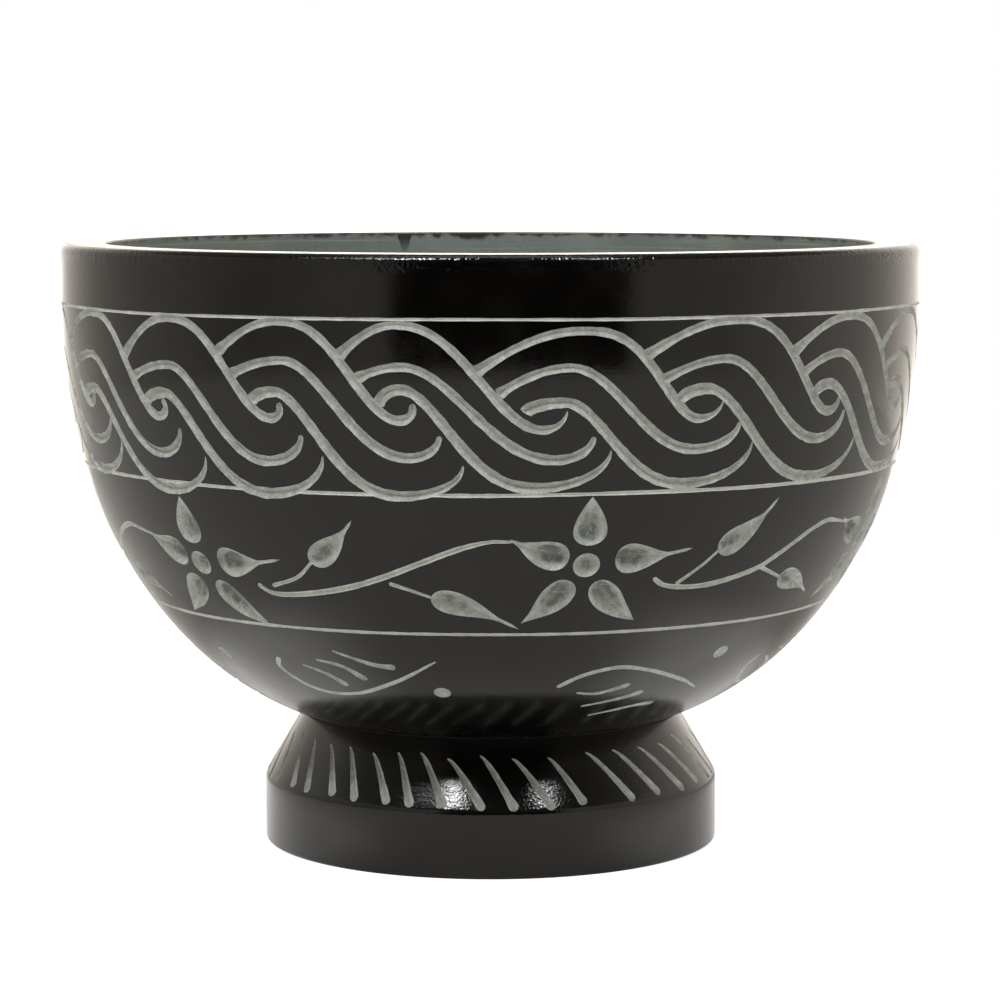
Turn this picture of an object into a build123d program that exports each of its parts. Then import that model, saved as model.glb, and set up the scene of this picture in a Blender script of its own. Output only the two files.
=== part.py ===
"""Turned stone bowl on a low foot.

The bowl and the foot are two stone turnings. A short spigot on top of the foot sits in a socket
under the bowl, and a thin film of adhesive fills the gap between them. Three scribed rings run
round the wall, and slanting gouge cuts run round the cone of the foot.

Z is up, and the origin is the centre of the face that the foot stands on. Millimetres, degrees.
"""

from build123d import *
import os

# Bowl: outside
rim_radius = 100.0
height = 140.7
straight_depth = 11.4  # upright band below the rim
wall_arcs = [(156.0, 13.6), (99.0, 26.6), (73.5, 29.3)]  # radius and sweep, from the rim down
rim_edge = 1.8  # rounding of the rim's outer edge
mouth_edge = 0.6  # rounding of the rim's inner edge

# Bowl: hollow
rim_wall = 10.3
hollow_straight = 12.5
hollow_arcs = [(150.0, 14.0), (85.0, 30.0), (38.0, 46.0)]  # they add up to 90, a level floor

# Scribed rings, as distances from the rim down the wall
ring_distances = [13.5, 50.6, 85.4]
ring_cut_radius = 0.4

# Joint between the bowl and the foot
bond_gap = 0.4
bond_setback = 0.5  # how far the film stops short of the outside
spigot_radius = 26.0
spigot_height = 5.0

# Foot
foot_radius = 53.4
shoulder_height = 15.2
foot_edge = 0.7  # rounding at the floor
shoulder_edge = 3.0  # rounding where the cone meets the upright band

# Gouge cuts on the foot's cone
cut_count = 40
cut_top_clearance = 3.2  # height left plain above the cuts
cut_low_clearance = 1.6  # height left plain between the cuts and the shoulder
cut_lead = 8.5  # degrees round the foot from a cut's top end to its low end
cut_top_radius = 0.3
cut_low_radius = 1.1


def curl_inwards(start, arcs):
    """Draw arcs that carry on smoothly from a downward line, and give their end."""
    heading = (0, -1)
    for radius, sweep in arcs:
        arc = JernArc(start=start, tangent=heading, radius=radius, arc_size=-sweep)
        start, heading = arc @ 1, arc % 1
    return start


# The wall's outside line, from the rim down to the seat on the foot
with BuildLine() as wall:
    upright = Line((rim_radius, height), (rim_radius, height - straight_depth))
    seat = curl_inwards(upright @ 1, wall_arcs)

mouth_radius = rim_radius - rim_wall
socket_top = seat.Y + spigot_height

with BuildPart() as bowl:
    with BuildSketch(Plane.XZ):
        with BuildLine():
            add(wall.line)
            Line((rim_radius, height), (mouth_radius, height))
            drop = Line((mouth_radius, height), (mouth_radius, height - hollow_straight))
            floor_edge = curl_inwards(drop @ 1, hollow_arcs)
            Polyline(
                floor_edge,
                (0, floor_edge.Y),
                (0, socket_top),
                (spigot_radius, socket_top),
                (spigot_radius, seat.Y),
                seat,
            )
        make_face()
    revolve(axis=Axis.Z)
    rim_edges = bowl.edges().group_by(Axis.Z)[-1].sort_by(SortBy.RADIUS)
    fillet(rim_edges[-1], rim_edge)
    mouth_edges = bowl.edges().group_by(Axis.Z)[-1].sort_by(SortBy.RADIUS)
    fillet(mouth_edges[0], mouth_edge)
    ring_places = [
        wall.wires()[0].position_at(distance, position_mode=PositionMode.LENGTH)
        for distance in ring_distances
    ]
    with BuildSketch(Plane.XZ):
        with Locations(*ring_places):
            Circle(ring_cut_radius)
    revolve(axis=Axis.Z, mode=Mode.SUBTRACT)
bowl.part.label = "bowl"

# The foot stops one film thickness below the bowl's seat, and all round inside its socket
foot_top = seat.Y - bond_gap
spigot_top = socket_top - bond_gap
spigot_wall = spigot_radius - bond_gap


def on_cone(z, turn):
    """Point of the foot's cone at height z, turned about the axis from the front."""
    flare = (foot_top - z) / (foot_top - shoulder_height)
    radius = seat.X + flare * (foot_radius - seat.X)
    return Vector(0, -radius, z).rotate(Axis.Z, turn)


# One gouge cut: pointed above, widening downwards to a rounded end
with BuildPart() as gouge_cut:
    top_end = on_cone(foot_top - cut_top_clearance, 0)
    low_end = on_cone(shoulder_height + cut_low_clearance, cut_lead)
    with BuildSketch(Plane(origin=top_end, z_dir=low_end - top_end)):
        Circle(cut_top_radius)
    with BuildSketch(Plane(origin=low_end, z_dir=low_end - top_end)):
        Circle(cut_low_radius)
    loft()
    with Locations(low_end):
        Sphere(cut_low_radius)

with BuildPart() as foot:
    with BuildSketch(Plane.XZ):
        with BuildLine():
            Polyline(
                (0, 0),
                (foot_radius, 0),
                (foot_radius, shoulder_height),
                (seat.X, foot_top),
                (spigot_wall, foot_top),
                (spigot_wall, spigot_top),
                (0, spigot_top),
                close=True,
            )
        make_face()
    revolve(axis=Axis.Z)
    widest = foot.edges().filter_by(GeomType.CIRCLE).group_by(SortBy.RADIUS)[-1].sort_by(Axis.Z)
    fillet(widest[0], foot_edge)
    fillet(widest[-1], shoulder_edge)
    with PolarLocations(radius=0, count=cut_count):
        add(gouge_cut.part, mode=Mode.SUBTRACT)
foot.part.label = "foot"

# Cured adhesive: a disc over the spigot, a sleeve round it and a ring on the seat
with BuildPart() as bond:
    with BuildSketch(Plane.XZ):
        with BuildLine():
            Polyline(
                (0, spigot_top),
                (spigot_wall, spigot_top),
                (spigot_wall, foot_top),
                (seat.X - bond_setback, foot_top),
                (seat.X - bond_setback, seat.Y),
                (spigot_radius, seat.Y),
                (spigot_radius, socket_top),
                (0, socket_top),
                close=True,
            )
        make_face()
    revolve(axis=Axis.Z)
bond.part.label = "bond"

os.makedirs("parts", exist_ok=True)
for piece in (bowl, foot, bond):
    export_step(piece.part, f"parts/{piece.part.label}.step")
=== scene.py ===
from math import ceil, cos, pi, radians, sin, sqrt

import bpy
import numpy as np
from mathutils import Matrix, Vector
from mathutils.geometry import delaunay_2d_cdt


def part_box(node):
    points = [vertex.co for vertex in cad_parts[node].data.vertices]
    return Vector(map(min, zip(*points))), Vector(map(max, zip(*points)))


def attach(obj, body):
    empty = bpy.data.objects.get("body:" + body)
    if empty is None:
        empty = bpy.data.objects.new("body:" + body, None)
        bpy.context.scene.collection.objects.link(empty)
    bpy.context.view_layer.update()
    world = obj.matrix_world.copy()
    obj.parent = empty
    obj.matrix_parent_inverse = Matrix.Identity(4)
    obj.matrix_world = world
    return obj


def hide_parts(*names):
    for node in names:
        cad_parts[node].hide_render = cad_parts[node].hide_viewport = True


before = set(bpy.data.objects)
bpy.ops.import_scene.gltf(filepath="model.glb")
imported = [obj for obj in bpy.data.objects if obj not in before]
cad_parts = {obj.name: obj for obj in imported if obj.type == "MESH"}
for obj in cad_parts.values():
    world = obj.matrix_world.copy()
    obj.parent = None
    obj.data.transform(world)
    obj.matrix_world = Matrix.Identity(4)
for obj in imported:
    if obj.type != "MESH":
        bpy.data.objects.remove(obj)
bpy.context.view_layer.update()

# Looks of the carved stone bowl. The bowl and its foot are rebuilt as fine meshes on the CAD's own
# section lines, with every gouge cut in the wall as real geometry, and the bond keeps its CAD mesh.
#
# The carving is laid out on the turned wall in two measures: an angle round the axis in degrees,
# 0 at the front (-Y) and rising towards +X, and a distance down the section line in millimetres.

MM = 0.001
rng = np.random.default_rng(7)

# ---- sizes (mm) ----

bowl_low, bowl_high = (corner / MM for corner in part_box("bowl"))
foot_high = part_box("foot")[1] / MM
bond_low, bond_high = (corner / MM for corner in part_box("bond"))

# The section lines repeat the CAD's runs and arcs: (radius, sweep in degrees)
rim_radius, rim_height, seat_height = bowl_high.x, bowl_high.z, bowl_low.z
rim_edge, mouth_edge, rim_wall = 1.8, 0.6, 10.3
mouth_radius = rim_radius - rim_wall
straight_depth, hollow_straight = 11.4, 12.5
wall_arcs = [(156.0, 13.6), (99.0, 26.6), (73.5, 29.3)]
hollow_arcs = [(150.0, 14.0), (85.0, 30.0), (38.0, 46.0)]
socket_radius, socket_depth = 26.0, bond_high.z - seat_height
foot_radius, foot_top, spigot_top = foot_high.x, bond_low.z, foot_high.z
spigot_radius = socket_radius - (bond_high.z - spigot_top)
shoulder_height, shoulder_edge, foot_edge = 15.2, 3.0, 0.7

# Scribed rings, as distances down the wall from the rim
ring_downs = [13.5, 50.6, 85.4]
ring_widths = [0.65, 0.85, 0.85]


# ---- section lines ----

class Section:
    """The section line of a turning, walked in straight runs and arcs.

    Each row is radius, height, heading and distance walked. A heading of 0 runs straight down and
    90 runs inwards, and the surface faces along (cos heading, -sin heading). Every run keeps its
    own rows, so that a sharp corner has two headings.
    """

    def __init__(self, radius, height, heading, walked=0.0, step=2.0):
        self.here = np.array([radius, height, heading, walked])
        self.step = step
        self.runs = []

    def line(self, length):
        share = np.linspace(0, 1, max(1, ceil(length / self.step)) + 1)[:, None]
        turn = radians(self.here[2])
        move = np.array([-sin(turn) * length, -cos(turn) * length, 0, length])
        return self._keep(self.here + share * move)

    def arc(self, radius, sweep, rows=None):
        """A positive sweep curls inwards over the stone, a negative one hollows it."""
        length = radius * radians(abs(sweep))
        count = rows or max(2, ceil(length / self.step))
        headings = self.here[2] + sweep * np.linspace(0, 1, count + 1)
        side = 1 if sweep > 0 else -1
        turns, first = np.radians(headings), radians(self.here[2])
        radii = self.here[0] + side * radius * (np.cos(turns) - cos(first))
        heights = self.here[1] - side * radius * (np.sin(turns) - sin(first))
        walked = self.here[3] + length * np.linspace(0, 1, count + 1)
        return self._keep(np.column_stack([radii, heights, headings, walked]))

    def corner(self, turn):
        self.here = self.here + np.array([0, 0, turn, 0])
        return self

    def _keep(self, rows):
        self.runs.append(rows)
        self.here = rows[-1]
        return self


class Wall:
    """A turned wall walked by angle round it and distance down its section line."""

    def __init__(self, section):
        rows = np.concatenate(section.runs)
        self.radii, self.heights, self.headings, self.downs = rows.T

    def row(self, down):
        return [np.interp(down, self.downs, line) for line in (self.radii, self.heights, self.headings)]

    def degree(self, down):
        """Millimetres round the wall in one degree."""
        return radians(1) * np.interp(down, self.downs, self.radii)

    def points(self, angle, down, depth=0.0):
        radius, height, heading = self.row(down)
        turn, facing = np.radians(angle), np.radians(heading)
        inset, height = radius - depth * np.cos(facing), height + depth * np.sin(facing)
        return np.column_stack([inset * np.sin(turn), -inset * np.cos(turn), height])

    def normals(self, angle, down):
        turn, facing = np.radians(angle), np.radians(self.row(down)[2])
        out = np.cos(facing)
        return np.column_stack([out * np.sin(turn), -out * np.cos(turn), -np.sin(facing)])


# ---- cuts ----

# Lines of mesh edges along a cut, as shares of its half width to either side of its middle
LANES = (-1.0, -0.5, 0.0, 0.5, 1.0)
SCOOP_LANES = (-1.0, -0.8, -0.5, -0.2, 0.0, 0.2, 0.5, 0.8, 1.0)
BLOCK = 2000  # points measured at a time, to save memory
KEEL_SHARE = 0.3  # how far from a cut's middle its keel of dust reaches, in half widths


class Cut:
    """A gouge cut: a line on the wall with a half width and a depth at each of its points."""

    def __init__(self, wall, line, half, depth, section, lanes=LANES, dust=0.0, keel=0.0):
        self.wall = wall
        self.line, self.depth = line, depth
        self.half = np.maximum(half, 0.0)
        self.section = section * np.ones(len(line))
        self.lanes = lanes
        self.dust = dust  # how much pale stone dust was left in it, 0 to 1
        self.keel = keel  # the same along its middle, less towards its end
        self.spine = wall.points(line[:, 0], line[:, 1])
        self.reach = self.half.max()

    def lane(self, share):
        """The line moved sideways by a share of the half width."""
        degree = self.wall.degree(self.line[:, 1])
        along = np.gradient(self.line, axis=0)
        along[:, 0] *= degree
        along /= np.maximum(np.linalg.norm(along, axis=1), 1e-9)[:, None]
        offset = share * self.half
        return self.line + np.column_stack([-along[:, 1] * offset / degree, along[:, 0] * offset])

    def measure(self, points):
        """Points near the cut: index, share of the half width, depth, gap to its edge, and dust."""
        low = self.spine.min(0) - self.reach - 1
        high = self.spine.max(0) + self.reach + 1
        near = np.nonzero(((points > low) & (points < high)).all(1))[0]
        share, depth, gap, dust = np.empty((4, len(near)))
        start, run = self.spine[:-1], np.diff(self.spine, axis=0)
        length = np.maximum((run ** 2).sum(1), 1e-12)
        for first in range(0, len(near), BLOCK):
            block = slice(first, first + BLOCK)
            away = points[near[block]][:, None, :] - start[None]
            walked = np.clip((away * run[None]).sum(2) / length[None], 0, 1)
            apart = ((away - walked[..., None] * run[None]) ** 2).sum(2)
            best = apart.argmin(1)
            row = np.arange(len(best))
            walked = walked[row, best]
            distance = np.sqrt(apart[row, best])
            half = self.half[best] * (1 - walked) + self.half[best + 1] * walked
            deep = self.depth[best] * (1 - walked) + self.depth[best + 1] * walked
            share[block] = distance / np.maximum(half, 1e-6)
            gap[block] = distance - half
            depth[block] = deep * (1 - np.minimum(share[block], 1) ** self.section[best])
            left = (1 - (best + walked) / len(run)) ** 2
            keel = np.maximum(1 - share[block] / KEEL_SHARE, 0)
            dust[block] = self.dust + self.keel * left * keel
        return near, share, depth, gap, dust


def waver(distance, size, spacing):
    """A smooth, seeded wander of about the given size, changing over the given distance."""
    knots = int(distance.max() / spacing) + 3
    return np.interp(distance, np.arange(knots) * spacing, rng.uniform(-size, size, knots))


def walked_along(wall, line):
    """Distance along a line on the wall, in mm."""
    steps = np.diff(line, axis=0)
    steps[:, 0] *= wall.degree((line[1:, 1] + line[:-1, 1]) / 2)
    return np.concatenate([[0], np.cumsum(np.hypot(steps[:, 0], steps[:, 1]))])


def spread_evenly(wall, line, ends, step=0.75):
    """Points along a line at an even step, closer together at ends that are to be rounded."""
    round_start, round_end = ends
    walked = walked_along(wall, line)
    total = walked[-1]
    near_end = np.array([0.0, 0.04, 0.15, 0.35, 0.65])  # shares of the rounded stretch
    places = [np.linspace(round_start, total - round_end, max(3, ceil(total / step)))]
    if round_start:
        places.insert(0, near_end * round_start)
    if round_end:
        places.append(total - (near_end * round_end)[::-1])
    places = np.concatenate(places)
    return np.column_stack([np.interp(places, walked, line[:, k]) for k in (0, 1)]), places


def through(wall, stops, count=12):
    """A smooth curve through points on the wall (Catmull-Rom), as many short steps."""
    stops = np.array(stops, float)
    padded = np.vstack([2 * stops[0] - stops[1], stops, 2 * stops[-1] - stops[-2]])
    share = np.linspace(0, 1, count, endpoint=False)[:, None]
    pieces = []
    for a, b, c, d in zip(padded, padded[1:], padded[2:], padded[3:]):
        pieces.append(
            b
            + share * (c - a) / 2
            + share ** 2 * (2 * a - 5 * b + 4 * c - d) / 2
            + share ** 3 * (3 * b - a - 3 * c + d) / 2
        )
    return np.vstack(pieces + [stops[-1:]])


def groove(wall, line, widths, depth, ends=(0.0, 0.0), section=1.3, dust=0.0):
    """A V groove along a line, with ends rounded over the given lengths (mm).

    widths are (share of the length, full width in mm).
    """
    line, places = spread_evenly(wall, line, ends)
    shares, full = np.array(widths).T
    half = np.interp(places / places[-1], shares, full) / 2
    for ending, away in zip(ends, (places, places[-1] - places)):
        if ending:
            inside = np.clip(away / ending, 0, 1)
            half = half * np.sqrt(1 - (1 - inside) ** 2)
    half = half * (1 + waver(places, size=0.09, spacing=1.0))
    return Cut(wall, line, half, depth * (half / half.max()) ** 0.8, section, dust=dust)


def scoop(wall, tip, base, width, depth, bow, tail, centre):
    """A teardrop scoop from a pointed tip to a round base. Points are (mm right, mm up) of centre."""
    tip, base = np.array(tip, float), np.array(base, float)
    share = 1 - (1 - np.linspace(0, 1, 22)) ** 2  # closer together towards the base
    body = np.clip((share - tail) / (1 - tail), 0, 1)
    power = 1.1 + tail  # higher draws the tip out more
    widest = power / (power + 0.5)
    half = width / 2 * (body / widest) ** power * np.sqrt((1 - body) / (1 - widest))
    thin = 0.4 * np.minimum(share / 0.1, 1) * (1 - body)  # the tail's half width
    half = np.hypot(half, thin) * (1 + waver(share * 10, size=0.03, spacing=2.0))
    across = np.array([-(base - tip)[1], (base - tip)[0]]) / np.linalg.norm(base - tip)
    plan = tip + share[:, None] * (base - tip) + np.outer(np.sin(pi * share) * bow, across)
    line = on_wall(wall, centre, plan)
    section = 1.15 + 0.85 * share  # a V at the tip that opens into a bowl
    return Cut(wall, line, half, depth * (half / half.max()) ** 1.1, section, SCOOP_LANES, keel=0.7)


def dimple(wall, centre, width, depth):
    """A small round hollow."""
    share = (1 - np.cos(np.linspace(0, pi, 13))) / 2
    half = width * np.sqrt(share * (1 - share))
    line = on_wall(wall, centre, np.outer(1 - 2 * share, (0, width / 2)))
    return Cut(wall, line, half, depth * (half / half.max()) ** 2, 2.0, SCOOP_LANES)


def on_wall(wall, centre, plan):
    """Points (mm right, mm up) of a centre on the wall, as angle and distance down."""
    down = centre[1] - plan[:, 1]
    return np.column_stack([centre[0] + plan[:, 0] / wall.degree(down), down])


def ring(wall, down, width, depth):
    """A scribed line all the way round, with the small wander of a hand-held scriber."""
    angle = np.arange(-183.0, 183.5, 1.0)
    wander = sum(
        size * np.sin(radians(1) * turns * angle + rng.uniform(0, 2 * pi))
        for turns, size in ((2, 0.10), (5, 0.06), (11, 0.04))
    )
    line = np.column_stack([angle, down + wander])
    width = width * (1 + waver(np.arange(len(angle)), size=0.18, spacing=1.5))
    return Cut(wall, line, width / 2, depth * np.ones(len(angle)), 1.2, dust=0.65)


# ---- the wave band ----

# Each unit of the interlaced band has three strokes, a, b and c. All start on the a of the unit
# before, roll over a crest, fall to a trough and curl up. The front units are given one by one as:
# - where a, b and c start, as depths along the a of the unit before
# - crest angle and depth, trough angle and depth of a, and the power that delays its fall
# - a's hook: reach and rise in mm, sweep in degrees
# - the same four of b and c, how far the stroke's tip rises above its trough, and the degrees
#   left between the tip and the next unit's c
# - degrees from the a of the unit before to the start of each stroke
usual_gaps = (0.2, 0.35, 0.5)
front_units = [
    ((21.5, 26.6, 33.2), (-61.8, 14.3, -46.7, 35.9, 1.42), (2.6, 2.2, 140),
     (-62.6, 23.6, -47.5, 44.1, 5.9, 2.9), (-62.6, 31.2, -46.7, 52.3, 8.2, 1.6), usual_gaps),
    ((23.2, 27.6, 33.0), (-43.8, 14.3, -28.0, 34.8, 1.38), (2.6, 2.1, 125),
     (-43.8, 24.4, -29.2, 44.2, 6.0, 2.3), (-44.9, 30.6, -29.5, 51.4, 8.8, 1.5), usual_gaps),
    ((21.4, 25.8, 31.6), (-26.4, 14.2, -11.0, 34.6, 1.32), (3.0, 2.5, 115),
     (-25.8, 22.4, -10.0, 42.6, 4.8, 1.6), (-27.0, 29.1, -11.2, 51.0, 6.9, 2.0), usual_gaps),
    ((21.4, 26.0, 31.6), (-11.3, 14.6, 6.5, 36.5, 1.18), (5.0, 4.2, 88),
     (-10.5, 23.3, 8.2, 43.0, 5.0, 1.9), (-10.6, 28.0, 5.8, 49.1, 8.1, 1.2), usual_gaps),
    ((24.4, 29.0, 32.9), (10.8, 15.8, 26.6, 34.8, 1.50), (5.6, 4.0, 88),
     (9.8, 23.4, 26.5, 41.4, 5.5, 0.9), (9.3, 30.7, 25.5, 48.9, 8.6, 0.9), (0.3, 0.8, 1.9)),
    ((21.3, 26.3, 30.9), (30.8, 14.1, 48.1, 34.9, 1.50), (3.6, 2.8, 95),
     (30.0, 22.2, 46.8, 40.8, 5.9, 1.2), (27.6, 28.4, 46.6, 49.3, 8.6, 0.5), usual_gaps),
    ((21.6, 26.0, 30.9), (51.0, 14.4, 67.3, 36.0, 1.50), (4.0, 3.0, 95),
     (49.5, 22.2, 67.0, 43.8, 5.2, 0.8), (47.8, 28.8, 66.5, 49.8, 7.3, 0.5), usual_gaps),
]
back_units = 12
# At the crest and at the trough of a, b and c: over 1 delays the fall, under 1 hastens it
fall_powers = ((1.45, 1.45), (0.96, 0.80), (0.85, 0.58))
rise_power = (0.95, 0.9, 0.6)  # the lower, the steeper a stroke's start
# Widths of a, b and c, as (share of the length, full width in mm)
stroke_widths = [
    [(0, 3.0), (0.04, 2.3), (0.12, 1.7), (0.35, 1.8), (0.6, 2.0), (0.8, 2.2), (0.93, 2.1), (1, 1.3)],
    [(0, 2.5), (0.05, 1.9), (0.2, 1.8), (0.5, 2.1), (0.78, 2.3), (0.93, 2.0), (1, 1.0)],
    [(0, 2.8), (0.06, 2.6), (0.16, 2.1), (0.45, 2.3), (0.7, 2.5), (0.85, 1.9), (0.95, 1.2), (1, 0.3)],
]
thin_tip = [(0.9, 1.9), (1, 0.3)]  # the last widths of an a whose hook turns less than 90 degrees


class Unit:
    """One unit of the band: its strokes' crests, troughs and ends, turned round the axis."""

    def __init__(self, row, turn=0.0):
        self.row = row
        self.starts, a, self.hook, b, c, self.start_gaps = row
        self.strokes = [(s[0] + turn, s[1], s[2] + turn, s[3]) for s in (a, b, c)]
        self.powers = ((a[4], a[4]), *fall_powers[1:])
        self.rises = (None, b[4], c[4])
        self.gaps = (None, b[5], c[5])

    def falling(self, stroke, share):
        """The run from crest to trough, for shares of the way across."""
        crest, top, trough, low = self.strokes[stroke]
        first, last = self.powers[stroke]
        fall = (1 - np.cos(pi * share ** (first + share * (last - first)))) / 2
        return np.column_stack([crest + share * (trough - crest), top + (low - top) * fall])

    def falling_angle(self, stroke, down):
        """The angle at which the falling run passes a depth."""
        run = self.falling(stroke, np.linspace(0, 1, 100))
        return np.interp(down, run[:, 1], run[:, 0])


def wave_units():
    """The band's units in order round the bowl: the listed front and an even run behind it."""
    units = [Unit(row) for row in front_units]
    start = units[-1].strokes[0][0]
    pitch = (360 + units[0].strokes[0][0] - start) / (back_units + 1)
    for k in range(1, back_units + 1):
        crest = start + pitch * k + rng.uniform(-0.6, 0.6)
        trough = crest + pitch * rng.uniform(0.81, 0.86)
        lift, sink = rng.uniform(-0.5, 0.5, 2)
        starts = np.array([21.8, 26.4, 31.6]) + lift
        hook = (rng.uniform(2.6, 4.6), rng.uniform(2.2, 3.4), rng.uniform(90, 135))
        a = (crest, 14.4 + lift / 2, trough, 35.2 + sink, fall_powers[0][0])
        b = (crest - 0.9, 23.3 + lift, trough + 0.1, 43.3 + sink, rng.uniform(4.6, 5.8), 1.0)
        c = (crest - 2.4, 30.0 + lift, trough - 0.4, 50.4 + sink, rng.uniform(6.8, 8.2), 0.6)
        units.append(Unit((starts, a, hook, b, c, usual_gaps)))
    return units


def rising(start, crest, power, count=14):
    """The run from a start up to a crest, steeper at first for a lower power."""
    share = np.linspace(0, 1, count, endpoint=False) ** 1.3
    lift = np.sin(pi / 2 * share ** power)
    return start + np.column_stack([share, lift]) * np.subtract(crest, start)


def curl(trough, reach, rise, sweep):
    """The end of a stroke: part of an ellipse that starts level at the trough. Reach in degrees."""
    turn = np.radians(np.linspace(0, sweep, 15)[1:])
    return np.column_stack([trough[0] + reach * np.sin(turn), trough[1] - rise * (1 - np.cos(turn))])


def wave_band(wall):
    """Every stroke of the interlaced band."""
    units = wave_units()
    around = [Unit(units[-1].row, -360), *units, Unit(units[0].row, 360)]
    shares = np.linspace(0, 1, 36)
    cuts = []
    for before, unit, after in zip(around, units, around[2:]):
        for stroke in range(3):
            run = unit.falling(stroke, shares)
            start = unit.starts[stroke]
            first = before.falling_angle(0, start) + unit.start_gaps[stroke]
            rise = rising((first, start), run[0], rise_power[stroke])
            trough = run[-1]
            widths = stroke_widths[stroke]
            if stroke == 0:
                reach, lift, sweep = unit.hook
                end = curl(trough, reach / wall.degree(trough[1]), lift, sweep)
                if sweep < 90:
                    widths = widths[:-2] + thin_tip
            else:
                lift = unit.rises[stroke]
                stop = after.falling_angle(2, trough[1] - lift) - unit.gaps[stroke]
                end = curl(trough, stop - trough[0], lift, 90)
            line = np.vstack([rise, run, end])
            cuts.append(groove(wall, line, widths, depth=0.9, ends=(0.4, 0.5)))
    return cuts


# ---- the flower band ----

flowers = [(-45.6, 70.0), (13.2, 67.2), (69.6, 67.6), (130.6, 68.8), (191.8, 69.3), (253.0, 68.0)]
# Petals as (tip, base, full width, bow, share of the length that is a thin tail), the places in
# mm right and up of the flower's centre
petals = [
    ((0.0, 16.3), (0.2, 5.0), 7.5, 0.0, 0.0),
    ((-17.2, 6.6), (-4.2, 1.6), 7.0, -0.7, 0.1),
    ((24.0, 2.9), (6.0, 1.1), 7.3, 0.6, 0.28),
    ((-12.6, -14.8), (-3.1, -3.9), 6.7, -0.5, 0.05),
    ((12.7, -15.2), (2.5, -4.5), 6.5, 0.8, 0.0),
]
centre_width = 5.9
petal_depth, leaf_depth, centre_depth = 1.8, 1.4, 1.3
stem_reach = (10.2, 10.3)  # degrees from a stem's start and end to its flowers' centres
stem_widths = [(0, 1.1), (0.3, 1.45), (0.8, 1.3), (1, 0.6)]

# The stem from one flower to the next, as (share of the way, mm below the flowers' centres), and
# its leaves. A leaf is (share of the way to its round base, mm below, tip right and up of the
# base, width, bow, tail), with a stalk of (degrees, mm down) from the base.
vine_shapes = [
    {
        "stem": [(0, 4.0), (0.055, 6.2), (0.14, 6.5), (0.27, 5.8), (0.41, 4.2), (0.54, 1.8),
                 (0.68, -1.5), (0.82, -4.7), (0.925, -6.1), (1, -5.9)],
        "upper": ((0.268, -1.8, (11.4, 10.6), 5.9, 0.7, 0.16), [(-2.9, 4.0), (-7.6, 6.7)]),
        "lower": ((0.708, 7.2, (18.0, -8.6), 6.0, -1.0, 0.2), [(-2.8, -1.7), (-5.8, -3.4)]),
    },
    {
        "stem": [(0, 3.9), (0.055, 5.9), (0.15, 6.7), (0.26, 6.5), (0.38, 5.2), (0.5, 3.2),
                 (0.57, 1.0), (0.67, -2.4), (0.76, -5.2), (0.85, -6.8), (0.92, -6.5), (1, -5.8)],
        "upper": ((0.262, -2.0, (14.2, 11.8), 6.4, 1.0, 0.2), [(-2.0, 3.2), (-5.6, 7.8)]),
        "lower": ((0.66, 6.4, (14.9, -5.9), 5.4, -0.9, 0.15), [(-3.0, -1.9), (-5.9, -3.8)]),
    },
]


def flower(wall, centre):
    """Five petals round a small round dimple."""
    cuts = [dimple(wall, centre, centre_width, centre_depth)]
    for tip, base, width, bow, tail in petals:
        tip, base = np.array([tip, base]) + rng.uniform(-0.25, 0.25, 2)
        cuts.append(scoop(wall, tip, base, width, petal_depth, bow, tail, centre))
    return cuts


def vine(wall, centre, following, shape):
    """The stem from one flower to the next, with a leaf above it and a leaf below it."""
    start, end = centre[0] + stem_reach[0], following[0] - stem_reach[1]

    def place(share, below):
        middle = centre[1] + share * (following[1] - centre[1])
        return start + share * (end - start), middle + below

    stem = through(wall, [place(*stop) for stop in shape["stem"]])
    cuts = [groove(wall, stem, stem_widths, depth=0.5, ends=(0.6, 0.0), dust=0.4)]
    for (share, below, tip, width, bow, tail), stalk in (shape["upper"], shape["lower"]):
        base = place(share, below)
        line = through(wall, np.add([(0, 0), *stalk], base))
        cuts.append(groove(wall, line, [(0, 0.7), (1, 1.0)], depth=0.4, ends=(0.0, 0.5), dust=0.4))
        cuts.append(scoop(wall, tip, (0.0, 0.0), width, leaf_depth, bow, tail, base))
    return cuts


def flower_band(wall):
    cuts = []
    again = (flowers[0][0] + 360, flowers[0][1])
    for k, (centre, following) in enumerate(zip(flowers, [*flowers[1:], again])):
        cuts += flower(wall, centre)
        cuts += vine(wall, centre, following, vine_shapes[k % len(vine_shapes)])
    return cuts


# ---- the lower band ----

smile = [(-14.6, 95.9), (-15.9, 98.4), (-15.4, 101.3), (-12.8, 105.3), (-9.6, 107.3),
         (-6.0, 107.8), (-0.7, 106.6), (4.6, 103.4), (9.8, 99.4), (15.4, 93.9)]
smile_hatches = [
    [(-2.3, 91.9), (1.9, 94.4), (5.1, 95.9), (8.2, 96.3)],
    [(-6.5, 95.3), (-1.8, 96.9), (1.9, 101.3)],
    [(-10.2, 97.5), (-6.0, 100.0), (-2.8, 104.1)],
]
frown = [(-16.2, 103.1), (-12.6, 99.4), (-8.4, 97.3), (-4.7, 96.9), (0.5, 98.6), (5.8, 101.3),
         (11.1, 104.4), (16.3, 108.1)]
frown_hatches = [
    [(-12.1, 105.6), (-8.4, 106.4), (-5.2, 105.3), (-1.8, 103.4)],
    [(-9.7, 111.8), (-5.8, 110.6), (-1.0, 108.8), (2.4, 106.9)],
    [(-6.6, 116.9), (-2.1, 115.3), (3.2, 113.4), (7.9, 112.8)],
]
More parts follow.
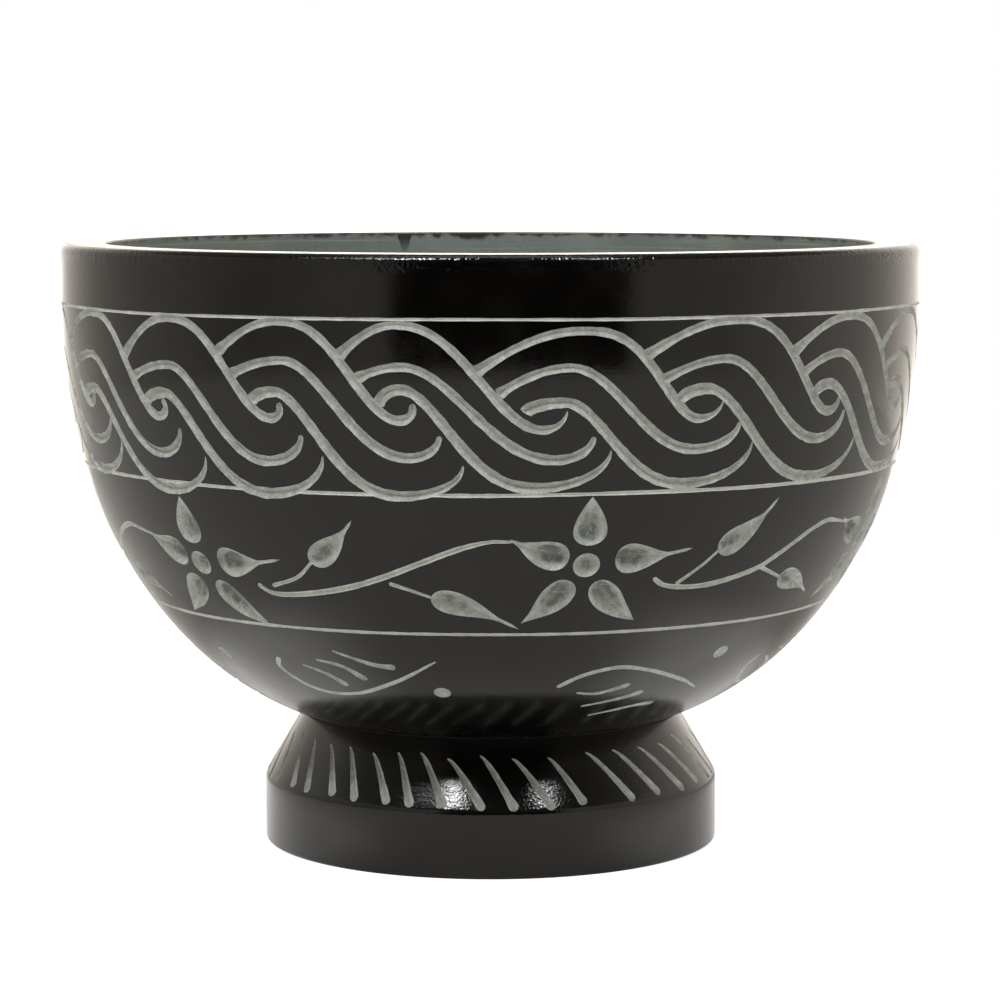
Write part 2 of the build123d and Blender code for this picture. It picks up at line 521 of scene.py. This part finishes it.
# Where each stands: its angle, and how much further down it sits (mm)
smile_places = [(-24.3, 0.0), (72.5, 3.0), (159.6, 1.0), (246.8, -0.5)]
frown_places = [(28.4, 0.0), (116.0, 1.0), (203.2, 0.0), (290.3, 2.8)]
smile_dot, frown_dot = (15.5, 105.0), (14.7, 94.9)
curve_widths, hatch_widths = [(0, 1.3), (0.3, 1.3), (0.8, 1.1), (1, 0.5)], [(0, 0.7), (0.6, 1.3), (1, 2.0)]


def motif(wall, place, curve, hatches, dot):
    """A fish-like curve with three short hatches and a dot."""
    def moved(stops):
        return through(wall, np.add(stops, place))

    cuts = [groove(wall, moved(curve), curve_widths, depth=0.5, ends=(0.6, 0.4), dust=0.4)]
    for hatch in hatches:
        cuts.append(groove(wall, moved(hatch), hatch_widths, depth=0.55, ends=(0.4, 1.0)))
    cuts.append(dimple(wall, np.add(dot, place), width=3.8, depth=0.7))
    return cuts


def lower_band(wall):
    cuts = []
    for place in smile_places:
        cuts += motif(wall, place, smile, smile_hatches, smile_dot)
    for place in frown_places:
        cuts += motif(wall, place, frown, frown_hatches, frown_dot)
    return cuts


# ---- the foot's cuts ----

# Front cuts as (angle at the top, degrees from there to the low end)
front_foot_cuts = [(-60.5, 8.0), (-51.6, 8.8), (-43.4, 8.1), (-34.5, 8.5), (-26.5, 6.7), (-19.7, 8.4),
                   (-11.8, 10.1), (-2.8, 9.0), (6.0, 9.5), (16.0, 7.8), (27.4, 10.6), (36.3, 10.7),
                   (45.8, 11.2), (55.0, 11.0), (64.2, 11.0)]
back_foot_cuts = 25
foot_cut_widths = [(0, 0.4), (0.2, 1.1), (0.6, 1.65), (1, 2.3)]


def foot_cuts(wall):
    """Slanting gouge cuts down the cone, pointed above and round below."""
    first, last = front_foot_cuts[0][0] + 360, front_foot_cuts[-1][0]
    pitch = (first - last) / (back_foot_cuts + 1)
    places = list(front_foot_cuts)
    for k in range(1, back_foot_cuts + 1):
        places.append((last + pitch * k + rng.uniform(-0.6, 0.6), rng.uniform(8.0, 10.5)))
    share = np.linspace(0, 1, 24)
    cuts = []
    for angle, lead in places:
        top, low = rng.uniform(3.6, 4.8), rng.uniform(16.2, 17.0)
        line = np.column_stack([angle + lead * share ** 0.75, top + (low - top) * share])
        cuts.append(groove(wall, line, foot_cut_widths, depth=0.9, ends=(0.3, 1.2), section=1.5, dust=0.15))
    return cuts


# ---- mesh making ----

SEGMENTS = 240  # steps round every turned face
POLE = 0.01  # faces turned about the axis stop this far (mm) from it


def add_object(name, data):
    made = bpy.data.objects.new(name, data)
    bpy.context.scene.collection.objects.link(made)
    return made


class Shell:
    """Patches of faces with their own corner normals, welded into one mesh.

    A patch normal of zero asks for the mesh's own smooth normal. Each point also carries the depth
    that was cut there and the dust left in it.
    """

    def __init__(self):
        self.points, self.normals, self.marks, self.faces, self.slots = [], [], [], [], []
        self.count = 0

    def add(self, points, normals, faces, slot, marks=(0.0, 0.0)):
        self.points.append(points)
        self.normals.append(normals)
        self.marks.append(marks * np.ones((len(points), 2)))
        self.faces += (faces + self.count).tolist()
        self.slots += [slot] * len(faces)
        self.count += len(points)

    def lathe(self, runs, slot):
        """Runs of section rows, turned all the way round."""
        turns = np.radians(np.arange(SEGMENTS) * 360.0 / SEGMENTS - 180.0)
        right, back = np.sin(turns), -np.cos(turns)
        for run in runs:
            radius, height, facing = run[:, 0, None], run[:, 1, None], np.radians(run[:, 2, None])
            out, up = np.cos(facing), -np.sin(facing)
            points = np.stack([radius * right, radius * back, height + 0 * turns], axis=2)
            normals = np.stack([out * right, out * back, up + 0 * turns], axis=2)
            corner = np.arange(len(run) * SEGMENTS).reshape(len(run), SEGMENTS)
            after = np.roll(corner, -1, axis=1)
            faces = np.stack([corner[:-1], corner[1:], after[1:], after[:-1]], axis=2)
            self.add(points.reshape(-1, 3), normals.reshape(-1, 3), faces.reshape(-1, 4), slot)

    def mesh(self, name, materials):
        points = np.vstack(self.points)
        normals = np.vstack(self.normals)
        rounded = np.round(points, 3) + 0.0
        _, first, welded = np.unique(rounded, axis=0, return_index=True, return_inverse=True)
        welded = welded.ravel()
        faces, slots, corners = [], [], []
        for face, slot in zip(self.faces, self.slots):
            kept = [c for c, d in zip(face, face[1:] + face[:1]) if welded[c] != welded[d]]
            if len({welded[c] for c in kept}) >= 3:
                faces.append([int(welded[c]) for c in kept])
                slots.append(slot)
                corners += kept
        made = bpy.data.meshes.new(name)
        made.from_pydata((points[first] * MM).tolist(), [], faces)
        made.polygons.foreach_set("material_index", slots)
        made.polygons.foreach_set("use_smooth", [True] * len(faces))
        for material in materials:
            made.materials.append(material)
        made.update()
        marks = np.vstack(self.marks)[first]
        for k, mark in enumerate(("cut_depth", "cut_dust")):
            made.attributes.new(mark, "FLOAT", "POINT").data.foreach_set("value", marks[:, k])
        mark_creases(made)
        made.normals_split_custom_set(normals[corners].tolist())
        return add_object(name, made)


def mark_creases(mesh, angle=38.0):
    """Edges between finishes, and the bottoms of V cuts, are sharp."""
    loops, count = len(mesh.loops), len(mesh.polygons)
    edge_of = np.empty(loops, int)
    mesh.loops.foreach_get("edge_index", edge_of)
    totals, slots, facing = np.empty(count, int), np.empty(count, int), np.empty(count * 3)
    mesh.polygons.foreach_get("loop_total", totals)
    mesh.polygons.foreach_get("material_index", slots)
    mesh.polygons.foreach_get("normal", facing)
    facing = facing.reshape(-1, 3)
    face_of = np.repeat(np.arange(count), totals)
    order = np.argsort(edge_of, kind="stable")
    edges, faces = edge_of[order], face_of[order]
    pair = np.nonzero(edges[1:] == edges[:-1])[0]
    one, two = faces[pair], faces[pair + 1]
    bend = (facing[one] * facing[two]).sum(1)
    sharp = np.zeros(len(mesh.edges), bool)
    sharp[edges[pair]] = (slots[one] != slots[two]) | (bend < cos(radians(angle)))
    attribute = mesh.attributes.get("sharp_edge") or mesh.attributes.new("sharp_edge", "BOOLEAN", "EDGE")
    attribute.data.foreach_set("value", sharp)


def carved_patch(shell, wall, cuts, rows):
    """A whole wall, triangulated so that every cut's outline is a line of edges.

    The plain faces take the mesh's first material and the cuts its second.
    """
    top, bottom = wall.downs[0], wall.downs[-1]
    scale = wall.degree(top)
    margin = 3.0  # degrees that a cut runs on past the seam at the back
    clearance = 0.45  # grid points nearer than this (mm) to a cut are left out
    columns = -180.0 + 360.0 / SEGMENTS * np.arange(SEGMENTS + 1)
    downs = np.linspace(top, bottom, rows + 1)
    grid = np.array([(angle, down) for down in downs for angle in columns])
    solid_grid = wall.points(grid[:, 0], grid[:, 1])
    keep = np.ones(len(grid), bool)
    for cut in cuts:
        near, _, _, gap, _ = cut.measure(solid_grid)
        keep[near] &= gap >= clearance
    keep |= (grid[:, 1] == top) | (grid[:, 1] == bottom) | (np.abs(grid[:, 0]) == 180.0)
    points = grid[keep].tolist()
    number = (np.cumsum(keep) - 1).reshape(rows + 1, SEGMENTS + 1)
    edges = []
    for border in (number[0], number[-1], number[:, 0], number[:, -1]):
        edges += zip(border.tolist(), border[1:].tolist())
    for cut in cuts:
        for share in cut.lanes:
            lane = cut.lane(share)
            for turn in (-360.0, 0.0, 360.0):
                copy = lane + (turn, 0.0)
                inside = np.abs(copy[:, 0]) < 180.0 + margin
                for k in np.nonzero(inside[:-1] & inside[1:])[0]:
                    if k == 0 or not inside[k - 1]:
                        points.append(copy[k].tolist())
                    points.append(copy[k + 1].tolist())
                    edges.append((len(points) - 2, len(points) - 1))
    flat = [Vector((angle * scale, down)) for angle, down in points]
    merge = 1e-4  # points closer together than this (mm) become one
    found, _, triangles, *_ = delaunay_2d_cdt(flat, edges, [], 0, merge, False)
    found = np.array([(v.x / scale, v.y) for v in found])
    triangles = np.array([t for t in triangles if len(t) == 3])
    middle = found[triangles].mean(1)
    inside = (np.abs(middle[:, 0]) < 180.0) & (middle[:, 1] > top) & (middle[:, 1] < bottom)
    triangles, middle = triangles[inside][:, ::-1], middle[inside]

    depth, dust = np.zeros(len(found)), np.zeros(len(found))
    solid = wall.points(found[:, 0], found[:, 1])
    carved = np.zeros(len(triangles), bool)
    solid_middle = wall.points(middle[:, 0], middle[:, 1])
    for cut in cuts:
        near, share, deep, _, dusty = cut.measure(solid)
        wins = (share < 1.05) & (deep >= depth[near])  # the deepest cut's dust shows
        dust[near[wins]] = dusty[wins]
        depth[near] = np.maximum(depth[near], deep)
        near, share, _, _, _ = cut.measure(solid_middle)
        carved[near] |= share < 1
    carved_points = wall.points(found[:, 0], found[:, 1], depth)
    normals = wall.normals(found[:, 0], found[:, 1])
    marks = np.column_stack([depth, dust])
    for chosen, slot, facing in ((~carved, 0, normals), (carved, 1, np.zeros_like(normals))):
        used, index = np.unique(triangles[chosen], return_inverse=True)
        shell.add(carved_points[used], facing[used], index.reshape(-1, 3), slot, marks[used])


# ---- materials ----

class Nodes:
    """A node tree, with helpers that add nodes and give back their output."""

    def __init__(self, tree):
        self.tree = tree

    def node(self, kind, inputs=None, **settings):
        made = self.tree.nodes.new(kind)
        for name, value in settings.items():
            setattr(made, name, value)
        for name, value in (inputs or {}).items():
            self.feed(made.inputs[name], value)
        return made

    def feed(self, socket, value):
        if isinstance(value, bpy.types.NodeSocket):
            self.tree.links.new(value, socket)
        else:
            socket.default_value = value

    def math(self, operation, *values):
        made = self.node("ShaderNodeMath", operation=operation)
        for socket, value in zip(made.inputs, values):
            self.feed(socket, value)
        return made.outputs[0]

    def plus(self, one, two):
        return self.math("ADD", one, two)

    def minus(self, one, two):
        return self.math("SUBTRACT", one, two)

    def times(self, one, two):
        return self.math("MULTIPLY", one, two)

    def split(self, vector):
        return self.node("ShaderNodeSeparateXYZ", {"Vector": vector}).outputs

    def length(self, x, y):
        return self.math("SQRT", self.plus(self.times(x, x), self.times(y, y)))

    def azimuth(self, x, y):
        """Angle round the axis, 0 at the front (-Y) and rising towards +X."""
        return self.math("ARCTAN2", x, self.times(y, -1.0))

    def span(self, value, low, high, to_low=0.0, to_high=1.0, smooth=True):
        """Map a value from one range to another, held at its ends."""
        inputs = {"Value": value, "From Min": low, "From Max": high, "To Min": to_low, "To Max": to_high}
        kind = "SMOOTHSTEP" if smooth else "LINEAR"
        return self.node("ShaderNodeMapRange", inputs, interpolation_type=kind).outputs["Result"]

    def blend(self, share, first, second):
        made = self.node("ShaderNodeMix", data_type="RGBA")
        self.feed(made.inputs["Factor"], share)
        for socket, value in ((made.inputs[6], first), (made.inputs[7], second)):
            self.feed(socket, value if isinstance(value, bpy.types.NodeSocket) else (*value, 1))
        return made.outputs[2]


class Finish(Nodes):
    """A Principled material, with grain and relief that follow the object."""

    def __init__(self, name):
        self.material = bpy.data.materials.new(name)
        self.material.use_nodes = True
        super().__init__(self.material.node_tree)
        self.shader = self.tree.nodes["Principled BSDF"]
        self.place = self.node("ShaderNodeTexCoord").outputs["Object"]

    def set(self, name, value):
        self.feed(self.shader.inputs[name], value)

    def grain(self, size, detail=2.0, rough=0.5):
        """Noise from 0 to 1 with features of about the given size in mm."""
        inputs = {"Vector": self.place, "Scale": 1 / (size * MM), "Detail": detail, "Roughness": rough}
        return self.node("ShaderNodeTexNoise", inputs).outputs["Fac"]

    def turned(self, pitch, round_about=40.0):
        """Noise from 0 to 1 in bands round the axis, of about the given pitch in mm."""
        x, y, z = self.split(self.place)
        radius = self.length(x, y)
        along = self.math("DIVIDE", self.plus(radius, z), pitch * MM)
        across = self.math("DIVIDE", self.minus(radius, z), pitch * MM)
        swing = self.math("DIVIDE", self.minus(x, y), round_about * MM)
        place = self.node("ShaderNodeCombineXYZ", {"X": along, "Y": across, "Z": swing}).outputs[0]
        return self.node("ShaderNodeTexNoise", {"Vector": place, "Scale": 1.0, "Detail": 2.0}).outputs["Fac"]

    def bump(self, *layers):
        """Stack (height from 0 to 1, its size in mm) layers of relief."""
        normal = None
        for height, size in layers:
            inputs = {"Height": height, "Strength": 1.0, "Distance": size * MM}
            if normal:
                inputs["Normal"] = normal
            normal = self.node("ShaderNodeBump", inputs).outputs["Normal"]
        self.set("Normal", normal)


# Colours, as linear light
BLACK = (0.0018, 0.0016, 0.0014)
DYE = (0.0040, 0.0034, 0.0028)
THIN_DYE = (0.020, 0.017, 0.014)
STONE = (0.40, 0.44, 0.41)
DUSTY = (0.80, 0.83, 0.79)
SHADED = (0.12, 0.145, 0.13)
HOLLOW, HOLLOW_PALE = (0.225, 0.26, 0.24), (0.29, 0.325, 0.30)
ADHESIVE, ADHESIVE_PALE = (0.003, 0.0028, 0.0025), (0.010, 0.009, 0.008)


def polished_black(name):
    """The black of the bowl and the foot, cloudy, with fine specks in its polish."""
    finish = Finish(name)
    cloud = finish.grain(9.0, detail=4.0)
    speck = finish.grain(0.45, detail=3.0, rough=0.65)
    rough = finish.span(speck, 0.3, 0.7, 0.07, 0.15)
    finish.set("Base Color", finish.blend(finish.span(cloud, 0.35, 0.7), BLACK, DYE))
    finish.set("IOR", 1.5)
    return finish, cloud, speck, rough


def dyed_look():
    """The bowl: faint turning marks, and small knocks that break up the rim's highlights."""
    finish, cloud, speck, rough = polished_black("dyed_stone")
    turning = finish.turned(0.5)
    height = finish.split(finish.place)["Z"]
    above = finish.minus(finish.math("DIVIDE", height, MM), rim_height)
    cloudy = finish.span(cloud, 0.4, 0.7, 0.0, 0.05)
    flat = finish.span(above, -0.25, -0.05, 0.0, 0.1)  # duller on the rim's flat top
    duller = finish.span(height, 0.030, 0.050, 0.12, 0.0)  # and down towards the foot
    for extra in (cloudy, flat, duller):
        rough = finish.plus(rough, extra)
    finish.set("Roughness", rough)
    knock = finish.times(finish.grain(0.9), finish.span(above, -4.5, -2.5))
    finish.bump((knock, 0.12), (speck, 0.006), (turning, 0.003), (finish.grain(4.0), 0.02))
    return finish.material


def foot_look():
    """The foot: a coarser relief than the bowl's under the same polish."""
    finish, _, speck, rough = polished_black("foot_stone")
    finish.set("Roughness", rough)
    turning = finish.turned(0.42, round_about=90.0)
    finish.bump((finish.grain(0.6), 0.035), (speck, 0.012), (turning, 0.006))
    return finish.material


def cut_look():
    """Bare stone in the cuts: granular, darkened deep down by painted shade, and pale where dust was left."""
    finish = Finish("cut_stone")
    depth, dust = (
        finish.node("ShaderNodeAttribute", attribute_name=name).outputs["Fac"]
        for name in ("cut_depth", "cut_dust")
    )
    chip = finish.grain(0.5, detail=4.0, rough=0.7)
    patch = finish.grain(2.2, detail=4.0)
    fleck = finish.grain(0.5)
    colour = finish.blend(finish.span(patch, 0.35, 0.65, 0.0, 0.5), STONE, DUSTY)
    colour = finish.blend(finish.span(chip, 0.48, 0.64, 0.0, 0.7), colour, SHADED)
    # painted shade: the deeper the cut, the darker its stone, mottled by the patches
    deep = finish.span(finish.plus(depth, finish.span(patch, 0.3, 0.7, -0.4, 0.4)), 0.7, 1.6)
    colour = finish.blend(finish.times(deep, 0.95), colour, SHADED)
    colour = finish.blend(finish.span(fleck, 0.58, 0.72, 0.0, 0.6), colour, DUSTY)
    pale = finish.times(dust, finish.span(chip, 0.35, 0.75, 1.0, 0.5))
    finish.set("Base Color", finish.blend(pale, colour, DUSTY))
    finish.set("Roughness", 0.75)
    finish.bump((chip, 0.14), (finish.grain(0.25), 0.04))
    return finish.material


def bare_look():
    """The undyed hollow: matt stone with turning marks, and dye that ran over the mouth's edge."""
    finish = Finish("bare_stone")
    cloud = finish.grain(22.0, detail=4.0)
    speck = finish.grain(0.7, detail=3.0)
    turning = finish.turned(0.9)
    stone = finish.blend(finish.span(cloud, 0.35, 0.65), HOLLOW, HOLLOW_PALE)
    stone = finish.blend(finish.span(speck, 0.45, 0.8, 0.0, 0.35), stone, SHADED)
    stone = finish.blend(finish.span(turning, 0.5, 0.8, 0.0, 0.25), stone, DUSTY)
    below = finish.math("DIVIDE", finish.minus(rim_height * MM, finish.split(finish.place)["Z"]), MM)
    creep = finish.span(finish.grain(3.0, detail=4.0), 0.35, 0.75, 0.5, 1.5)  # mm below the rim
    plan = finish.node("ShaderNodeVectorMath", {0: finish.place, 1: (1, 1, 0)}, operation="MULTIPLY")
    for x, y, width, drop in dye_runs:
        inputs = {0: plan.outputs["Vector"], 1: (x * MM, y * MM, 0.0)}
        away = finish.node("ShaderNodeVectorMath", inputs, operation="DISTANCE").outputs["Value"]
        near = finish.span(finish.math("DIVIDE", away, MM), 0.15 * width, 0.6 * width, drop, 0.0)
        creep = finish.plus(creep, near)
    dye = finish.minus(1.0, finish.span(finish.minus(below, creep), -0.7, 0.5))
    dye = finish.times(dye, finish.span(below, 1.0, 4.5, 0.9, 0.4))  # thinner further down
    finish.set("Base Color", finish.blend(dye, stone, THIN_DYE))
    finish.set("Roughness", finish.span(dye, 0.0, 1.0, 0.62, 0.3))
    finish.bump((speck, 0.02), (turning, 0.03))
    return finish.material


def under_look():
    """Hidden and standing faces: thin dye over stone, rubbed through in places."""
    finish = Finish("under_stone")
    speck = finish.grain(0.8, detail=3.0)
    worn = finish.span(finish.grain(7.0, detail=5.0, rough=0.65), 0.62, 0.72)
    finish.set("Base Color", finish.blend(worn, DYE, SHADED))
    finish.set("Roughness", finish.span(worn, 0.0, 1.0, 0.42, 0.7))
    finish.bump((speck, 0.02), (finish.turned(0.8), 0.02))
    return finish.material


def adhesive_look():
    """Dull, dark and lumpy."""
    finish = Finish("adhesive")
    grain = finish.grain(1.2, detail=3.0)
    finish.set("Base Color", finish.blend(grain, ADHESIVE, ADHESIVE_PALE))
    finish.set("Roughness", finish.span(grain, 0.3, 0.7, 0.5, 0.65))
    finish.bump((grain, 0.05))
    return finish.material


# Where dye ran over the mouth's edge: across, front to back, and the run's width and drop (mm)
dye_runs = [
    (sin(radians(turn)) * mouth_radius, -cos(radians(turn)) * mouth_radius, width, drop)
    for turn, width, drop in (
        (-165.4, 3.4, 4.2), (-170.8, 2.6, 1.0), (-177.2, 9.0, 1.1), (43.7, 5.0, 1.4), (-71.4, 4.0, 1.6)
    )
]

dyed_stone, foot_stone, cut_stone = dyed_look(), foot_look(), cut_look()
bare_stone, under_stone = bare_look(), under_look()

# ---- the pieces ----


def make_bowl():
    """The carved wall, the rim, the hollow and the seat with its socket."""
    wall_section = Section(rim_radius, rim_height - rim_edge, 0.0, walked=rim_edge, step=0.5)
    wall_section.line(straight_depth - rim_edge)
    for radius, sweep in wall_arcs:
        wall_section.arc(radius, sweep)
    wall = Wall(wall_section)
    cuts = [ring(wall, down, width, depth=0.25) for down, width in zip(ring_downs, ring_widths)]
    cuts += wave_band(wall) + flower_band(wall) + lower_band(wall)

    shell = Shell()
    carved_patch(shell, wall, cuts, rows=65)

    rim = Section(mouth_radius + mouth_edge, rim_height, -90.0, step=1.5)
    rim.line(rim_wall - mouth_edge - rim_edge).arc(rim_edge, 90, rows=8)
    shell.lathe(rim.runs, 0)

    hollow = Section(mouth_radius, rim_height - mouth_edge, 0.0, step=3.0)
    hollow.line(hollow_straight - mouth_edge)
    for radius, sweep in hollow_arcs:
        hollow.arc(radius, sweep)
    hollow.line(hollow.here[0] - POLE)
    # Turned end for end, so that its faces look into the hollow
    shell.lathe([run[::-1] - [0, 0, 180, 0] for run in hollow.runs], 2)
    mouth = Section(mouth_radius, rim_height - mouth_edge, -180.0).arc(mouth_edge, 90, rows=4)
    shell.lathe(mouth.runs, 2)

    seat_radius = wall.radii[-1]
    under = Section(seat_radius, seat_height, 90.0, step=8.0)
    under.line(seat_radius - socket_radius).corner(90).line(socket_depth).corner(-90)
    under.line(socket_radius - POLE)
    shell.lathe(under.runs, 3)
    return shell.mesh("bowl_carved", [dyed_stone, cut_stone, bare_stone, under_stone]), seat_radius


def make_foot(seat_radius):
    """The carved cone, the upright band, the underside and the spigot."""
    flare = foot_radius - seat_radius
    drop = foot_top - shoulder_height
    slope = np.degrees(np.arctan2(flare, drop))
    cone = sqrt(flare ** 2 + drop ** 2)
    trim = shoulder_edge * np.tan(radians(slope / 2))
    section = Section(seat_radius, foot_top, -slope, step=0.5)
    band_top = 3.0  # the part of the upright band that is one wall with the cone
    section.line(cone - trim).arc(shoulder_edge, slope, rows=6).line(band_top)
    wall = Wall(section)
    shell = Shell()
    carved_patch(shell, wall, foot_cuts(wall), rows=14)
    band = Section(section.here[0], section.here[1], 0.0, step=2.0)
    band.line(band.here[1] - foot_edge).arc(foot_edge, 90, rows=5)
    shell.lathe(band.runs, 0)
    under = Section(foot_radius - foot_edge, 0.0, 90.0, step=8.0).line(foot_radius - foot_edge - POLE)
    shell.lathe(under.runs, 2)
    top = Section(POLE, spigot_top, -90.0, step=8.0).line(spigot_radius - POLE).corner(90)
    top.line(spigot_top - foot_top).corner(-90).line(seat_radius - spigot_radius)
    shell.lathe(top.runs[:-1], 2)
    shell.lathe(top.runs[-1:], 0)
    return shell.mesh("foot_carved", [foot_stone, cut_stone, under_stone])


bowl_carved, seat_radius = make_bowl()
foot_carved = make_foot(seat_radius)
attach(bowl_carved, "root")
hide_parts("bowl")
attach(foot_carved, "root")
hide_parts("foot")
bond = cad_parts["bond"]
bond.data.materials[0] = adhesive_look()

# ---- camera and studio ----

camera_place = (0.0022, -0.7955, 0.1622)
camera_dip = 5.92  # degrees below level
camera_data = bpy.data.cameras.new("camera")
camera_data.lens = 121.8
camera = add_object("camera", camera_data)
camera.location = camera_place
camera.rotation_euler = (radians(90 - camera_dip), 0, 0)
bpy.context.scene.camera = camera

floor_radius, floor_sides = 0.6, 96
painted_side_glow = 0.6  # painted light: the table glows close beside the foot, never seen directly


def seen_white(studio):
    """1 for what the camera sees directly and 0 for light and reflections."""
    return studio.node("ShaderNodeLightPath").outputs["Is Camera Ray"]


def make_floor():
    """A plain round white table. Seen directly it is lit up to plain white. Close beside the foot it glows
    with painted light, felt only in light and reflections.
    """
    mesh = bpy.data.meshes.new("floor")
    turns = [2 * pi * k / floor_sides for k in range(floor_sides)]
    edge = [(floor_radius * cos(turn), floor_radius * sin(turn), 0) for turn in turns]
    mesh.from_pydata(edge, [], [list(range(floor_sides))])
    finish = Finish("floor_white")
    finish.set("Base Color", (0.80, 0.78, 0.75, 1))
    finish.set("Roughness", 0.8)
    finish.set("Emission Color", (1, 1, 1, 1))
    x, y, _ = finish.split(finish.place)
    turned = finish.math("ABSOLUTE", finish.azimuth(x, y))
    # painted light: a glowing ring of table beside the foot, for light and reflections only
    beside = finish.span(turned, radians(25), radians(60))
    glow = finish.times(beside, finish.span(finish.length(x, y), 0.09, 0.13, painted_side_glow, 0.0))
    finish.set("Emission Strength", finish.span(seen_white(finish), 0.0, 1.0, glow, 0.8, smooth=False))
    mesh.materials.append(finish.material)
    floor = add_object("floor", mesh)


# Light from the walls: (azimuth from the front in degrees, brightness)
wall_light = [(0, 0.5), (64, 0.57), (80, 0.73), (96, 0.85), (112, 0.85), (128, 1.0), (144, 1.3), (170, 1.8),
              (177, 3.2)]
wall_tint = (1.0, 0.92, 0.83)
left_light = 0.68  # the wall on the left, as a share of the one on the right
opening_turn, opening_half, opening_light = 5.5, 31.0, 0.02  # a dark opening behind the camera
shelf_light = 0.35  # a lighter band of wall, about 27 degrees up
upper_light = 0.22  # the walls above it, away from the front
ceiling_light = 1.5
# Softboxes high up in front: azimuth, half width, lowest and highest elevation, brightness
softboxes = [(-25, 5.5, 48, 62, 68.0), (-48, 12, 48, 60, 8.5), (36, 4.5, 48, 61, 53.0)]


def wall_level(studio, azimuth, z):
    """Brightness of the walls by azimuth and by the sine of the elevation."""
    turned = studio.math("ABSOLUTE", azimuth)
    level = wall_light[0][1]
    for (first, low), (second, high) in zip(wall_light, wall_light[1:]):
        rise = studio.span(turned, radians(first), radians(second), 0.0, high - low, smooth=False)
        level = studio.plus(level, rise)
    near_front = studio.span(azimuth, radians(-70), radians(-30), left_light, 1.0)
    near_back = studio.span(azimuth, radians(-172), radians(-150), 1.0, left_light)
    level = studio.times(level, studio.math("MAXIMUM", near_front, near_back))
    aside = studio.math("ABSOLUTE", studio.minus(azimuth, radians(opening_turn)))
    outside = studio.span(aside, radians(opening_half - 2), radians(opening_half + 2))
    level = studio.times(level, studio.span(outside, 0.0, 1.0, opening_light, 1.0, smooth=False))
    shelf = studio.times(studio.span(z, 0.3, 0.5), studio.span(outside, 0.0, 1.0, 0.5, 1.0))
    level = studio.plus(level, studio.times(shelf, shelf_light))
    upper = studio.span(turned, radians(30), radians(80), 0.2 * upper_light, upper_light)
    high, top = studio.span(z, 0.34, 0.64), studio.span(z, 0.93, 0.99)
    level = studio.times(level, studio.minus(1.0, high))
    return studio.plus(level, studio.times(upper, studio.minus(high, top))), top


def lamp_level(studio, azimuth, z):
    """Brightness of the softboxes."""
    level = 0.0
    for turn, half, lowest, highest, strength in softboxes:
        aside = studio.math("ABSOLUTE", studio.minus(azimuth, radians(turn)))
        across = studio.span(aside, radians(0.7 * half), radians(half), 1.0, 0.0)
        foot, head = sin(radians(lowest)), sin(radians(highest))
        upright = studio.times(studio.span(z, foot, foot + 0.02), studio.span(z, head - 0.05, head, 1.0, 0.0))
        level = studio.plus(level, studio.times(studio.times(across, upright), strength))
    return level


def make_world():
    """Warm walls, brightest behind the bowl, a plain ceiling and softboxes in front."""
    world = bpy.data.worlds.new("studio")
    bpy.context.scene.world = world
    world.use_nodes = True
    studio = Nodes(world.node_tree)
    direction = studio.node("ShaderNodeTexCoord").outputs["Generated"]
    x, y, z = studio.split(direction)
    azimuth = studio.azimuth(x, y)
    walls, top = wall_level(studio, azimuth, z)
    lamps = studio.plus(lamp_level(studio, azimuth, z), studio.times(top, ceiling_light))
    light = studio.node("ShaderNodeAddShader")
    for socket, colour, strength in zip(light.inputs, (wall_tint, (1, 1, 1)), (walls, lamps)):
        background = studio.node("ShaderNodeBackground", {"Color": (*colour, 1), "Strength": strength})
        studio.feed(socket, background.outputs["Background"])
    backdrop = studio.node("ShaderNodeBackground", {"Color": (1, 1, 1, 1)}).outputs["Background"]
    mixed = studio.node("ShaderNodeMixShader", {0: seen_white(studio), 1: light.outputs[0], 2: backdrop})
    studio.feed(world.node_tree.nodes["World Output"].inputs["Surface"], mixed.outputs[0])


make_floor()
make_world()
bpy.context.scene.view_settings.view_transform = "Standard"
